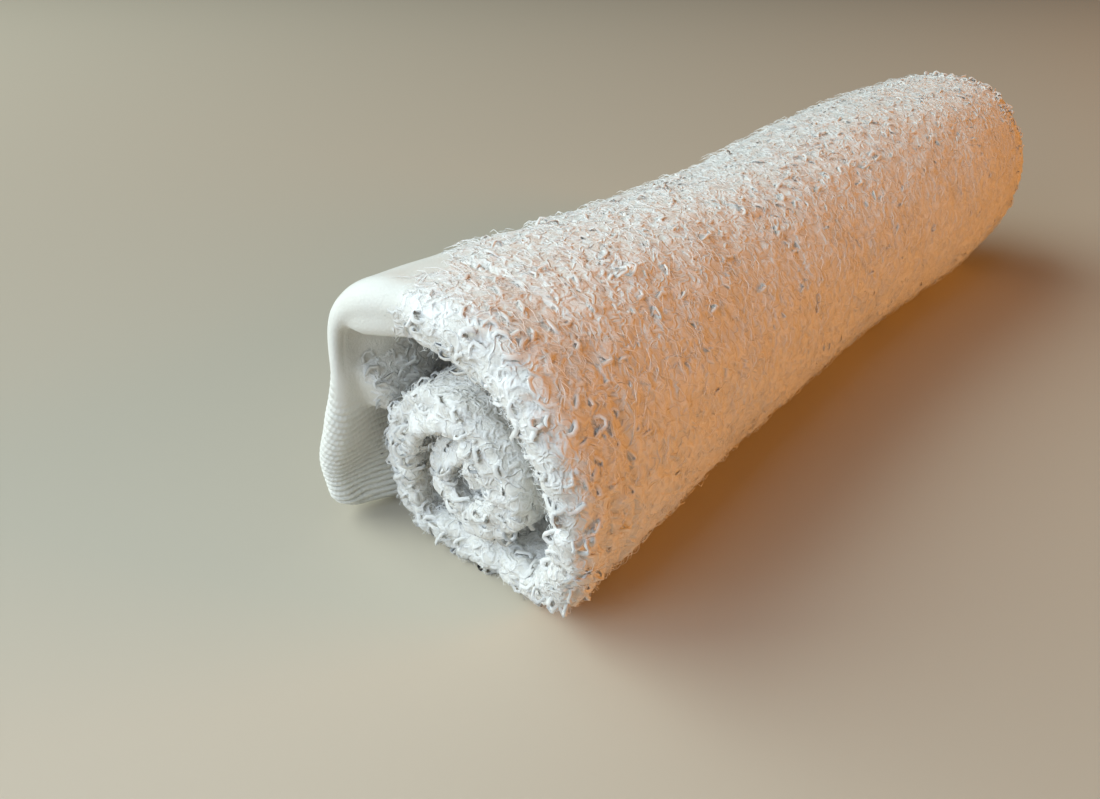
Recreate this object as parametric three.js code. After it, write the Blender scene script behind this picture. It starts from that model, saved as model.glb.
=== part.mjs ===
// A white terry face towel, folded in half along its length and rolled up hem to hem.
//
// Millimetres, +Z up. The roll lies along X on a flat strip of its underside. Its folded end
// faces -X, its two cut edges +X, and the loose hem stands off on the +Y side. The origin is
// in the middle of the box around it, at the height of the surface that it lies on.
//
// The towel is one piece of cloth, so it is one solid: the doubled cloth, from its loose hem
// round the outside of the roll and in to the core, with open space between the turns.
import * as THREE from 'three';

const rollLength = 145; // from the foot of the folded end to the cut edges
const seatDepth = 0.35; // how far the pile of the underside is pressed flat
const coreRecess = 2.5; // how far the core's cut edges lie behind those of the outside
const hemCorner = 3.2; // radius of the rounded corner of the loose hem
const endSoftness = 1.6; // length over which both ends of the band are rounded off
const endBluntness = 0.3; // share of the thickness that is left at those ends

const stepsPerRow = 4; // stations along the band between two rows of the winding
const softSteps = [0.06, 0.14]; // further stations just behind the hem's edge, in rows
const coreSteps = [0.12, 0.3]; // and just before the core's edge
const nearSteps = 4; // stations round the fold
const bodySteps = 12; // stations between the fold and the cut edges
const farSteps = 3; // stations round the cut edges
const bodyCrowding = 1.4; // above 1, stations stand closer together near the folded end

// The winding, from the loose hem to the core. Each row is a place on the middle line of the
// doubled cloth: how far left of the axis and how high it is, how thick the cloth is with its
// pile, how far the folded end leans left and lifts there and over what length that fades,
// and how far forward the fold stands.
const winding = [
  { at: 'hem end', left: 16.9, up: 0.6, thick: 3.0, lean: 4.6, lift: 1.5, fade: 9, forward: 5.0 },
  { at: 'hem low', left: 17.5, up: 9.4, thick: 3.2, lean: 3.8, lift: 0.4, fade: 10, forward: 6.0 },
  { at: 'hem middle', left: 17.1, up: 17.0, thick: 3.2, lean: 1.5, lift: 0.0, fade: 14, forward: 6.0 },
  { at: 'hem top', left: 15.9, up: 24.5, thick: 3.2, lean: 0.0, lift: 0.3, fade: 14, forward: 6.2 },
  { at: 'corner', left: 12.2, up: 31.6, thick: 3.6, lean: 1.4, lift: 2.1, fade: 16, forward: 6.2 },
  { at: 'top left', left: 5.4, up: 36.2, thick: 5.2, lean: 0.1, lift: 1.4, fade: 34, forward: 5.8 },
  { at: 'top right', left: -6.6, up: 35.8, thick: 5.8, lean: -0.2, lift: 0.6, fade: 40, forward: 5.2 },
  { at: 'right high', left: -14.6, up: 28.9, thick: 5.8, lean: 0.2, lift: 0.1, fade: 30, forward: 5.2 },
  { at: 'right', left: -17.1, up: 19.8, thick: 5.8, lean: 0.2, lift: -0.5, fade: 30, forward: 4.6 },
  { at: 'right low', left: -14.6, up: 10.6, thick: 5.8, lean: 0.0, lift: -0.9, fade: 30, forward: 2.8 },
  { at: 'foot right', left: -7.6, up: 3.9, thick: 5.8, lean: -1.6, lift: -0.5, fade: 30, forward: 0.8 },
  { at: 'foot', left: 1.5, up: 2.9, thick: 5.8, lean: 0.0, lift: 0.0, fade: 30, forward: 0.2 },
  { at: 'foot left', left: 10.2, up: 4.1, thick: 5.8, lean: 0.8, lift: -0.4, fade: 20, forward: 0.6 },
  { at: 'core left', left: 12.1, up: 11.6, thick: 5.8, lean: 0.2, lift: -0.2, fade: 20, forward: 1.2 },
  { at: 'core shoulder', left: 9.2, up: 19.8, thick: 5.4, lean: 0.0, lift: 0.2, fade: 20, forward: 2.4 },
  { at: 'core top', left: 1.4, up: 24.9, thick: 5.4, lean: 0.0, lift: 0.6, fade: 20, forward: 3.2 },
  { at: 'core right', left: -6.0, up: 20.6, thick: 5.2, lean: 0.0, lift: 0.0, fade: 20, forward: 2.6 },
  { at: 'core low', left: -5.9, up: 13.2, thick: 5.0, lean: 0.0, lift: 0.0, fade: 20, forward: 1.2 },
  { at: 'core foot', left: -1.0, up: 9.4, thick: 4.8, lean: 0.0, lift: 0.0, fade: 20, forward: 0.8 },
  { at: 'inner foot', left: 3.4, up: 10.8, thick: 4.6, lean: 0.0, lift: 0.0, fade: 20, forward: 0.8 },
  { at: 'inner left', left: 5.1, up: 14.1, thick: 4.4, lean: 0.0, lift: 0.0, fade: 20, forward: 0.9 },
  { at: 'inner high', left: 4.4, up: 16.9, thick: 4.1, lean: 0.0, lift: 0.0, fade: 20, forward: 0.9 },
  { at: 'inner top', left: 2.6, up: 18.8, thick: 3.7, lean: 0.0, lift: 0.0, fade: 20, forward: 0.9 },
  { at: 'curl top', left: 0.2, up: 19.1, thick: 3.2, lean: 0.0, lift: 0.0, fade: 20, forward: 0.8 },
  { at: 'curl right', left: -1.6, up: 17.4, thick: 2.8, lean: 0.0, lift: 0.0, fade: 20, forward: 0.7 },
  { at: 'heart', left: -1.5, up: 14.7, thick: 2.8, lean: 0.0, lift: 0.0, fade: 20, forward: 0.6 },
];

// The roll as a whole, at even distances from its folded end to its cut edges: its girth as a
// share of the winding's, and how far its middle bows to the left.
const girths = [
  { at: 'folded end', girth: 1.0, bow: -0.3 },
  { at: 'behind the fold', girth: 0.976, bow: 0.9 },
  { at: 'waist', girth: 0.966, bow: 1.4 },
  { at: 'past the waist', girth: 1.012, bow: 1.1 },
  { at: 'before the edges', girth: 1.035, bow: -0.6 },
  { at: 'cut edges', girth: 0.99, bow: 0.0 },
];

// A smooth value of one column between rows; place 2.5 is halfway from row 2 to row 3.
function between(rows, column, place) {
  const last = rows.length - 1;
  const row = Math.min(Math.max(Math.floor(place), 0), last - 1);
  const t = place - row;
  const here = rows[row][column];
  const next = rows[row + 1][column];
  const before = row > 0 ? rows[row - 1][column] : 2 * here - next;
  const after = row < last - 1 ? rows[row + 2][column] : 2 * next - here;
  const slopeHere = (next - before) / 2;
  const slopeNext = (after - here) / 2;
  const rise = next - here;
  return here + t * (slopeHere + t * (3 * rise - 2 * slopeHere - slopeNext
    + t * (slopeHere + slopeNext - 2 * rise)));
}

// The middle line of the doubled cloth at a place of the winding, x from the folded end.
function middle(place, x) {
  const front = -winding[0].forward;
  const distance = Math.max(x - front, 0) / between(winding, 'fade', place);
  const loose = Math.exp(-distance * distance);
  const left = between(winding, 'left', place) + loose * between(winding, 'lean', place);
  const up = between(winding, 'up', place) + loose * between(winding, 'lift', place);
  const along = Math.min(Math.max(x / rollLength, 0), 1) * (girths.length - 1);
  const girth = between(girths, 'girth', along);
  return new THREE.Vector2(left * girth + between(girths, 'bow', along), up * girth);
}

// Unit vector across the cloth, pointing out of the roll, from the middle line's direction.
function outward(place, x) {
  const reach = 0.02;
  const run = middle(place + reach, x).sub(middle(place - reach, x)).normalize();
  return new THREE.Vector2(run.y, -run.x);
}

// Distances round one lengthwise strip of the band: x, and the share of the full thickness.
function stations(place, fromEnd, thickness) {
  const short = Math.max(1 - fromEnd / hemCorner, 0);
  const corner = hemCorner * (1 - Math.sqrt(1 - short * short));
  const round = thickness / 2;
  const near = corner - between(winding, 'forward', place);
  const far = rollLength - coreRecess * (place / (winding.length - 1));
  const list = [];
  for (let i = 0; i < nearSteps; i++) {
    const angle = (i / nearSteps) * Math.PI / 2;
    list.push({ x: near + round * (1 - Math.cos(angle)), share: Math.sin(angle) });
  }
  for (let i = 0; i <= bodySteps; i++) {
    const run = (i / bodySteps) ** bodyCrowding;
    list.push({ x: near + round + run * (far - near - 2 * round), share: 1 });
  }
  for (let i = farSteps - 1; i >= 0; i--) {
    const angle = (i / farSteps) * Math.PI / 2;
    list.push({ x: far - round * (1 - Math.cos(angle)), share: Math.sin(angle) });
  }
  return list;
}

// Places along the winding, closer together at both ends so that these come out rounded,
// each with its distance from the nearer end.
function placesAlongBand() {
  const last = winding.length - 1;
  const even = Array.from({ length: last * stepsPerRow + 1 }, (_, i) => i / stepsPerRow);
  const places = [...even, ...softSteps, ...coreSteps.map((step) => last - step)];
  places.sort((a, b) => a - b);
  const points = places.map((place) => middle(place, rollLength / 2));
  let run = 0;
  const runs = points.map((point, i) => {
    run += point.distanceTo(points[Math.max(i - 1, 0)]);
    return run;
  });
  return places.map((place, i) => {
    const fromHem = runs[i];
    return { place, fromHem, fromEnd: Math.min(fromHem, run - fromHem) };
  });
}

// One closed strip of points round the doubled cloth: out along its outer face from the fold
// to the cut edges, and back along its inner face.
function strip({ place, fromHem, fromEnd }) {
  const soft = Math.max(1 - fromEnd / endSoftness, 0);
  const fullness = endBluntness + (1 - endBluntness) * Math.sqrt(1 - soft * soft);
  const thickness = between(winding, 'thick', place);
  const list = stations(place, fromHem, thickness);
  const side = (sign) => ({ x, share }) => {
    const half = (thickness / 2) * share * fullness;
    const point = middle(place, x).addScaledVector(outward(place, x), sign * half);
    return new THREE.Vector3(x, point.x, Math.max(point.y - seatDepth, 0));
  };
  const outer = list.map(side(1));
  const inner = list.slice(1, -1).reverse().map(side(-1));
  return [...outer, ...inner];
}

// Faces that close one end of the band, as a ladder from its outer to its inner side. The
// first rung is the fold's own point and the last one the middle of the cut edges.
function endFaces(around) {
  const rungs = around / 2;
  const faces = [[0, 1, around - 1], [rungs - 1, rungs, rungs + 1]];
  for (let i = 1; i < rungs - 1; i++) {
    faces.push([i, i + 1, around - i - 1], [i, around - i - 1, around - i]);
  }
  return faces;
}

// The whole band: strips joined side by side, then both ends closed.
function buildTowel() {
  const strips = placesAlongBand().map(strip);
  const around = strips[0].length;
  const positions = strips.flat().flatMap((point) => point.toArray());
  const index = [];
  for (let s = 0; s < strips.length - 1; s++) {
    for (let i = 0; i < around; i++) {
      const a = s * around + i;
      const b = s * around + ((i + 1) % around);
      index.push(a, a + around, b, b, a + around, b + around);
    }
  }
  const coreStart = (strips.length - 1) * around;
  for (const [a, b, c] of endFaces(around)) {
    index.push(a, b, c);
    index.push(coreStart + c, coreStart + b, coreStart + a);
  }
  const geometry = new THREE.BufferGeometry();
  geometry.setAttribute('position', new THREE.Float32BufferAttribute(positions, 3));
  geometry.setIndex(index);
  geometry.computeBoundingBox();
  const box = geometry.boundingBox;
  const centre = box.getCenter(new THREE.Vector3());
  geometry.translate(-centre.x, -centre.y, -box.min.z);
  return geometry;
}

const terry = new THREE.MeshStandardMaterial({ color: 0xe8e6e0, roughness: 0.95, metalness: 0 });

const towel = new THREE.Mesh(buildTowel(), terry);
towel.name = 'towel';

const rolledTowel = new THREE.Group();
rolledTowel.add(towel);

export default rolledTowel;
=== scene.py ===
# %% [markdown]
# # A rolled oshibori towel
# The object is a small white terry towel, folded in half along its length and rolled up hem to
# hem, as it is handed to a guest. It is one piece of cotton cloth with two faces: looped pile
# nearly everywhere, and a smooth ribbed band along the hem.
#
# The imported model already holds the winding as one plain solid. This lesson lays the real cloth
# over the same winding: the doubled ground cloth first, then a skin of felted pile, and last the
# thousands of yarn loops and loose fibres that make it terry. Everything is worked out with numpy,
# because all of it follows one formula and the loops are far too many to place one by one.

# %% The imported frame
import math

import bpy
import numpy as np
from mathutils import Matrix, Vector
from mathutils.geometry import tessellate_polygon


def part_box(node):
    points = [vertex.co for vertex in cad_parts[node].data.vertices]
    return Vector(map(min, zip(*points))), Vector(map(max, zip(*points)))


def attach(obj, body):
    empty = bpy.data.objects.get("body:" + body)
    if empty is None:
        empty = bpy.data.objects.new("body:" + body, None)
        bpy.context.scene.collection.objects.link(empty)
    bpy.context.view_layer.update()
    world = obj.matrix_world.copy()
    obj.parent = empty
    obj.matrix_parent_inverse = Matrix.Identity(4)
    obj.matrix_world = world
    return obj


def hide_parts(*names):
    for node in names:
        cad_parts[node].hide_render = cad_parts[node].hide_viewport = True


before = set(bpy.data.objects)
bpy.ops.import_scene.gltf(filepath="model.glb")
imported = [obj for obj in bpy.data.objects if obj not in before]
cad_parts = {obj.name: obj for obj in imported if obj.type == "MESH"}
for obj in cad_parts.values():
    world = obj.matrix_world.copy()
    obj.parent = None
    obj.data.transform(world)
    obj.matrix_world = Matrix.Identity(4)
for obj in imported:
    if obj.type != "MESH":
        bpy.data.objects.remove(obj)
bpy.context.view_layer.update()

MM = 0.001

# %% [markdown]
# ## The camera
# A wide lens close to the folded end makes that end look large and the far end small. A camera
# object looks along its own -Z axis, so its rotation is a tilt about X and then a turn about Z.
# The place and the angles are in the frame of the part, with the roll lying along X.

# %% Camera
camera_data = bpy.data.cameras.new("camera")
camera_data.sensor_fit = "HORIZONTAL"
camera_data.sensor_width = 36.0
camera_data.lens = 26.18
camera_data.clip_start = 0.01
camera = bpy.data.objects.new("camera", camera_data)
camera.location = (-0.1184, -0.0553, 0.0726)
camera.rotation_euler = (math.radians(57.38), 0.0, math.radians(-48.94))
bpy.context.scene.collection.objects.link(camera)
bpy.context.scene.camera = camera
print("camera", round(camera.location.length, 3), "m from the origin, below the middle of the roll")

# %% [markdown]
# ## The winding
# The cloth is described by its middle line in cross-section, from the loose hem to the heart of
# the roll. Each row is a place on that line: how far left of the axis and how high it is, how
# thick the doubled cloth is there with its pile, how far the folded end leans left and lifts and
# over what length that fades, and how far forward the fold stands. These are the same rows that
# the solid was made from, because the cloth has to lie exactly in its place.

# %% Rows of the winding, in millimetres
WINDING = np.array([
    # left, up, thick, lean, lift, fade, forward
    (16.9, 0.6, 3.0, 4.6, 1.5, 9, 5.0),  # hem end
    (17.5, 9.4, 3.2, 3.8, 0.4, 10, 6.0),  # hem low
    (17.1, 17.0, 3.2, 1.5, 0.0, 14, 6.0),  # hem middle
    (15.9, 24.5, 3.2, 0.0, 0.3, 14, 6.2),  # hem top
    (12.2, 31.6, 3.6, 1.4, 2.1, 16, 6.2),  # corner
    (5.4, 36.2, 5.2, 0.1, 1.4, 34, 5.8),  # top left
    (-6.6, 35.8, 5.8, -0.2, 0.6, 40, 5.2),  # top right
    (-14.6, 28.9, 5.8, 0.2, 0.1, 30, 5.2),  # right high
    (-17.1, 19.8, 5.8, 0.2, -0.5, 30, 4.6),  # right
    (-14.6, 10.6, 5.8, 0.0, -0.9, 30, 2.8),  # right low
    (-7.6, 3.9, 5.8, -1.6, -0.5, 30, 0.8),  # foot right
    (1.5, 2.9, 5.8, 0.0, 0.0, 30, 0.2),  # foot
    (10.2, 4.1, 5.8, 0.8, -0.4, 20, 0.6),  # foot left
    (12.1, 11.6, 5.8, 0.2, -0.2, 20, 1.2),  # core left
    (9.2, 19.8, 5.4, 0.0, 0.2, 20, 2.4),  # core shoulder
    (1.4, 24.9, 5.4, 0.0, 0.6, 20, 3.2),  # core top
    (-6.0, 20.6, 5.2, 0.0, 0.0, 20, 2.6),  # core right
    (-5.9, 13.2, 5.0, 0.0, 0.0, 20, 1.2),  # core low
    (-1.0, 9.4, 4.8, 0.0, 0.0, 20, 0.8),  # core foot
    (3.4, 10.8, 4.6, 0.0, 0.0, 20, 0.8),  # inner foot
    (5.1, 14.1, 4.4, 0.0, 0.0, 20, 0.9),  # inner left
    (4.4, 16.9, 4.1, 0.0, 0.0, 20, 0.9),  # inner high
    (2.6, 18.8, 3.7, 0.0, 0.0, 20, 0.9),  # inner top
    (0.2, 19.1, 3.2, 0.0, 0.0, 20, 0.8),  # curl top
    (-1.6, 17.4, 2.8, 0.0, 0.0, 20, 0.7),  # curl right
    (-1.5, 14.7, 2.8, 0.0, 0.0, 20, 0.6),  # heart
])
GIRTHS = np.array([
    # girth, bow: the roll as a whole, at even distances from the fold to the cut edges
    (1.0, -0.3),
    (0.976, 0.9),
    (0.966, 1.4),
    (1.012, 1.1),
    (1.035, -0.6),
    (0.99, 0.0),
])
ROLL_LENGTH = 145.0
CORE_RECESS = 2.5
HEM_CORNER = 3.2
END_SOFTNESS = 1.6
END_BLUNTNESS = 0.3
SEAT_DEPTH = 0.35
LAST = len(WINDING) - 1
print("winding of", len(WINDING), "rows")

# %% [markdown]
# A smooth curve through the rows is a cubic between each two, whose slope at a row is the mean of
# its neighbours' steps. From that come the middle line at any distance along the roll and its
# outward direction.


# %% Middle line of the doubled cloth
def between(rows, place):
    """Smooth values of all columns between rows; place 2.5 is halfway from row 2 to row 3."""
    place = np.asarray(place, float)
    row = np.clip(np.floor(place).astype(int), 0, len(rows) - 2)
    t = (place - row)[..., None]
    padded = np.vstack([2 * rows[0] - rows[1], rows, 2 * rows[-1] - rows[-2]])
    before, here, following, after = (padded[row + k] for k in range(4))
    slope = (following - before) / 2
    next_slope = (after - here) / 2
    rise = following - here
    return here + t * (slope + t * (3 * rise - 2 * slope - next_slope + t * (slope + next_slope - 2 * rise)))


def middle(place, x):
    """How far left and how high the middle line is, with x measured from the folded end."""
    left, up, _, lean, lift, fade, _ = np.moveaxis(between(WINDING, place), -1, 0)
    loose = np.exp(-(np.maximum(x + WINDING[0, 6], 0) / fade) ** 2)
    along = np.clip(x / ROLL_LENGTH, 0, 1) * (len(GIRTHS) - 1)
    girth, bow = np.moveaxis(between(GIRTHS, along), -1, 0)
    return np.stack([(left + loose * lean) * girth + bow, (up + loose * lift) * girth], -1)


def unit(vectors):
    return vectors / np.linalg.norm(vectors, axis=-1, keepdims=True)


def running(place, x):
    """Unit direction of the middle line towards the heart, as left and up."""
    reach = 0.02
    return unit(middle(place + reach, x) - middle(place - reach, x))


fine_places = np.linspace(0, LAST, 2001)
fine_line = middle(fine_places, np.full(len(fine_places), ROLL_LENGTH / 2))
fine_run = np.concatenate([[0], np.cumsum(np.linalg.norm(np.diff(fine_line, axis=0), axis=1))])
BAND = fine_run[-1]
print("the doubled cloth is", round(BAND, 1), "mm from hem to heart")

# %% [markdown]
# ## Where a point of the cloth lies
# A point is named by two lengths, as on a flat towel: how far it is from the hem, and how far it
# is from the lengthwise fold, counted positive over the outer face and negative over the inner
# one. `on_cloth` turns them into a place, an outward direction and the two directions along the
# cloth. The ground cloth and every loop are placed with it, so they can't drift apart.

# %% Points on the cloth
PILE_SHARE = 0.3
TERRY_FROM = 33.0
TERRY_FULL = 43.0
SLIT = 0.35


def ramp(value, start, end):
    """0 before start, 1 after end, and a smooth step between them."""
    t = np.clip((value - start) / (end - start), 0, 1)
    return t * t * (3 - 2 * t)


def section(hem):
    """At a distance from the hem: place, half thickness of the ground, pile height, fold and cut edge."""
    place = np.interp(hem, fine_run, fine_places)
    row = between(WINDING, place)
    thick, forward = row[..., 2], row[..., 6]
    pile = PILE_SHARE * thick / 2 * ramp(hem, TERRY_FROM, TERRY_FULL)
    near_end = np.minimum(hem, BAND - hem)
    soft = np.clip(1 - near_end / END_SOFTNESS, 0, 1)
    swell = END_BLUNTNESS + (1 - END_BLUNTNESS) * np.sqrt(1 - soft ** 2)
    short = np.clip(1 - hem / HEM_CORNER, 0, 1)
    corner = HEM_CORNER * (1 - np.sqrt(1 - short ** 2))
    half = (thick / 2 - pile) * swell
    return place, half, pile, corner - forward + pile, ROLL_LENGTH - CORE_RECESS * place / LAST


def width_of_face(hem):
    """How far one face runs from the fold to the cut edge."""
    _, half, _, fold, cut = section(hem)
    return half * math.pi / 2 + cut - fold - half


def on_cloth(hem, width, lift):
    """Point, outward direction, direction along the hem-to-heart line and direction across."""
    place, half, _, fold, _ = section(hem)
    side = np.where(width < 0, -1.0, 1.0)
    angle = np.clip(np.abs(width) / half, 0, math.pi / 2)
    x = fold + half * (1 - np.cos(angle)) + np.maximum(np.abs(width) - half * math.pi / 2, 0)
    run = running(place, x)
    across = np.stack([run[..., 1], -run[..., 0]], -1)
    centre = middle(place, x)
    zero = np.zeros_like(x)
    outward = np.concatenate([-np.cos(angle)[..., None], across * (side * np.sin(angle))[..., None]], -1)
    onward = np.concatenate([(side * np.sin(angle))[..., None], across * np.cos(angle)[..., None]], -1)
    point = np.concatenate([x[..., None], centre + across * (side * half * np.sin(angle))[..., None]], -1)
    along = np.concatenate([zero[..., None], run], -1)
    return point + outward * np.asarray(lift)[..., None], outward, along, onward


print("one face is", width_of_face(np.array([60.0])).round(1)[0], "mm wide from the fold to the cut edge")

# %% [markdown]
# ## Into the frame
# The rows are measured from the surface and from the roll's own axis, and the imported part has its
# own origin. So the winding is moved as a whole: its cut end and its underside meet the box of the
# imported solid, and its two sides lie evenly about the middle. Nothing is scaled, since a size that
# has to be stretched to fit would be a wrong size.

# %% Moving the winding into the frame
reach_places, reach_x = np.meshgrid(fine_places[::10], np.linspace(0, ROLL_LENGTH, 60))
reach_run = running(reach_places, reach_x)
reach_out = np.stack([reach_run[..., 1], -reach_run[..., 0]], -1)
half_cloth = reach_out * between(WINDING, reach_places)[..., 2:3] / 2
outer_side = middle(reach_places, reach_x) + half_cloth
inner_side = middle(reach_places, reach_x) - half_cloth
most = max(outer_side[..., 0].max(), inner_side[..., 0].max())
least = min(outer_side[..., 0].min(), inner_side[..., 0].min())
low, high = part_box("towel")
SHIFT = np.array([high.x / MM - ROLL_LENGTH, -(most + least) / 2, low.z / MM - SEAT_DEPTH])
LEAST_HEIGHT = 0.02


def in_frame(points):
    """Moves points of the winding into the frame of the part, in metres, and onto the surface."""
    placed = points + SHIFT
    placed[..., 2] = np.maximum(placed[..., 2], LEAST_HEIGHT)
    return placed * MM


print("the winding is moved by", SHIFT.round(2), "mm")

# %% [markdown]
# ## Unevenness
# Washed cotton is never regular. Three small functions give heights over the cloth: slow smooth
# waves, rounded knobs, and short flattened tufts that lie in one heading. Each takes a seed, so
# every run makes the same towel. Noise textures would do for colour, but these heights move the
# cloth itself, and the loops have to stand on the same surface.


# %% Smooth random heights
LATTICE = 97


def waver(u, v, seed):
    """Smooth random heights from -1 to 1 that change over about one unit of u and v."""
    lattice = np.random.default_rng(seed).uniform(-1, 1, (LATTICE, LATTICE))
    i, j = np.floor(u).astype(int), np.floor(v).astype(int)
    a, b = ramp(u - i, 0, 1), ramp(v - j, 0, 1)

    def corner(di, dj):
        return lattice[(i + di) % LATTICE, (j + dj) % LATTICE]

    low_row = corner(0, 0) * (1 - a) + corner(1, 0) * a
    high_row = corner(0, 1) * (1 - a) + corner(1, 1) * a
    return low_row * (1 - b) + high_row * b


print("slow heights:", waver(np.linspace(0, 3, 5), np.zeros(5), 1).round(2))

# %% [markdown]
# Knobs are round, one in each cell of a grid and anywhere in it, and the highest one wins where
# two meet. Tufts are laid the same way, but each is an oval turned to its own heading, so a grid
# point has to look two cells to each side for the ones that reach it.

# %% Knobs and tufts
KNOB_RADIUS = 0.62
TUFT_PITCH = 0.9
HALF_TUFT_LENGTH = 1.1
HALF_TUFT_BREADTH = 0.5
TUFT_SCATTER = 1.4


def knobs_of_pile(hem, width, pitch, seed):
    """Heights from 0 to 1 of rounded knobs that stand about one pitch apart."""
    u, v = hem / pitch, width / pitch
    i, j = np.floor(u).astype(int), np.floor(v).astype(int)
    places = np.random.default_rng(seed).uniform(0.1, 0.9, (LATTICE, LATTICE, 3))
    height = np.zeros(np.broadcast(u, v).shape)
    for di in (-1, 0, 1):
        for dj in (-1, 0, 1):
            knob = places[(i + di) % LATTICE, (j + dj) % LATTICE]
            away = (u - i - di - knob[..., 0]) ** 2 + (v - j - dj - knob[..., 1]) ** 2
            dome = (0.6 + 0.4 * knob[..., 2]) * np.sqrt(np.clip(1 - away / KNOB_RADIUS ** 2, 0, 1))
            height = np.maximum(height, dome)
    return height


def lying_tufts(hem, width, heading, seed):
    """Heights from 0 to 1 of short flattened tufts, 2 mm long, that lie in this heading."""
    u, v = hem / TUFT_PITCH, width / TUFT_PITCH
    i, j = np.floor(u).astype(int), np.floor(v).astype(int)
    places = np.random.default_rng(seed).uniform(0, 1, (LATTICE, LATTICE, 4))
    height = np.zeros(np.broadcast(u, v).shape)
    for di in range(-2, 3):
        for dj in range(-2, 3):
            tuft = places[(i + di) % LATTICE, (j + dj) % LATTICE]
            past_hem = (u - i - di - tuft[..., 0]) * TUFT_PITCH
            past_width = (v - j - dj - tuft[..., 1]) * TUFT_PITCH
            turn = heading + TUFT_SCATTER * (tuft[..., 2] - 0.5)
            lengthwise = past_hem * np.cos(turn) + past_width * np.sin(turn)
            sideways = past_width * np.cos(turn) - past_hem * np.sin(turn)
            away = (lengthwise / HALF_TUFT_LENGTH) ** 2 + (sideways / HALF_TUFT_BREADTH) ** 2
            dome = (0.4 + 0.6 * tuft[..., 3]) * np.sqrt(np.clip(1 - away, 0, 1))
            height = np.maximum(height, dome)
    return height


print("knob heights:", knobs_of_pile(np.linspace(0, 3, 5), np.zeros(5), 1.0, 1).round(2))

# %% [markdown]
# ## Where the pile stands
# The hem is a band woven without loops: ribs for its first 25 mm outside and 20 mm inside, and a
# plain strip behind them. On the outside the plain strip is wider beside the fold. On the inside
# the pile starts sooner, and a smooth pocket opens beside the fold where the top of the roll
# turns down. The ribs are real cords, since they catch the light one by one.

# %% Ribs, plain strip and pile
RIB_PITCH = 1.02
RIB_HEIGHT = 0.55
RIBS_OUTSIDE = 25.0
RIBS_INSIDE = 20.0
OUTER_PILE_FROM = 41.5
OUTER_PILE_SOONER = 6.5
FLAP_PILE_FROM = 19.2
UPPER_PILE_FROM = 40


def from_fold(hem, width):
    """Distance along the face from where the fold ends, and 0 on the fold."""
    return np.maximum(np.abs(width) - section(hem)[1] * math.pi / 2, 0)


def slant(hem):
    """How much further from the fold the tuft on the flap begins, the nearer it is to the hem."""
    return 0.35 * (24 - hem)


def pile_border(hem, width, blur):
    """1 on the pile and 0 on smooth cloth, with a ragged border that is about 2 blur wide."""
    deep = from_fold(hem, width)
    ragged = hem + 1.1 * waver(hem / 2.3, width / 2.3, 5)
    outside_start = OUTER_PILE_FROM - OUTER_PILE_SOONER * ramp(deep, 4, 13)
    outside = ramp(ragged, outside_start - blur, outside_start + blur)
    on_flap = ramp(ragged, FLAP_PILE_FROM - 0.4 * blur, FLAP_PILE_FROM + 0.4 * blur)
    tuft = on_flap * (1 - ramp(ragged, 24.6, 25.8)) * ramp(deep, 1.4 + slant(hem), 2.4 + slant(hem))
    within = on_flap * ramp(deep, 6.2, 8)
    above = ramp(ragged, UPPER_PILE_FROM - blur, UPPER_PILE_FROM + blur)
    inside = np.maximum(np.maximum(tuft, within), above)
    return np.where(width > 0, outside, inside)


def pile_cover(hem, width):
    """1 where loops stand and 0 where the cloth is smooth."""
    return pile_border(hem, width, 0.6)


def fullness(hem, width):
    """How much of its height the pile has: it rises slowly from the border."""
    return pile_border(hem - 3 * (width > 0), width, 4.0)


def rib_height(hem, width):
    """Rounded cords side by side, a little wavy, lower where the band ends."""
    drift = 0.5 * waver(hem / 14, width / 7, 6) + 0.2 * waver(hem / 3, width / 2.2, 7)
    turn = ((hem + drift) / RIB_PITCH) % 1
    cord = np.sqrt(np.clip(1 - (2 * turn - 1) ** 2, 0, 1))
    last_rib = np.where(width > 0, RIBS_OUTSIDE, RIBS_INSIDE + 2 * ramp(from_fold(hem, width), 8, 0))
    fading = 1 - ramp(hem, last_rib - 4, last_rib + 0.5)
    return RIB_HEIGHT * (cord - 0.6) * fading * ramp(hem, 0.3, 1.2)


sample_places = np.meshgrid(np.linspace(0, BAND, 90), [20.0, 80.0])
print("pile covers", round(float(pile_cover(*sample_places).mean()), 2), "of the outer face")

# %% [markdown]
# ## How high the surface stands
# The folded end is open and knobbly, because the fold spreads the feet of the loops. The right
# side and the underside have been gripped and pressed until the pile felted into a skin. So the
# ground gets its height from slow waves, the ribs and deep knobs, and the felt gets its own from
# flattened tufts. First come the parts that both of them share: where the pile is matted, where
# the skin lies, and how the whole cloth waves.

# %% Where the pile is matted
GRIPPED_FROM = 61
FELT_FROM = 39
FELT_TO = 118


def matted(hem, width):
    """0 where the loops stand free and 1 on the right side and under the roll, where they are felted."""
    border = GRIPPED_FROM + 3 * waver(hem / 6, width / 8, 11)
    return ramp(hem, border - 5, border + 6) * ramp(width, 5, 12)


def felt_zone(hem, width):
    """1 where the fine skin of felted pile lies over the ground, and 0 outside it."""
    across = ramp(width, 8.5, 11.5) * ramp(width_of_face(hem) - width, 2.5, 5)
    return ramp(hem, FELT_FROM, FELT_FROM + 3) * (1 - ramp(hem, FELT_TO - 2.5, FELT_TO)) * across


def roll_unevenness(hem, width):
    """Slow waves of the whole cloth."""
    return 0.3 * waver(hem / 7, width / 9, 2) + 0.2 * waver(hem / 2.6, width / 3.0, 3)


print("the felt lies from", FELT_FROM, "to", FELT_TO, "mm from the hem")

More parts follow.
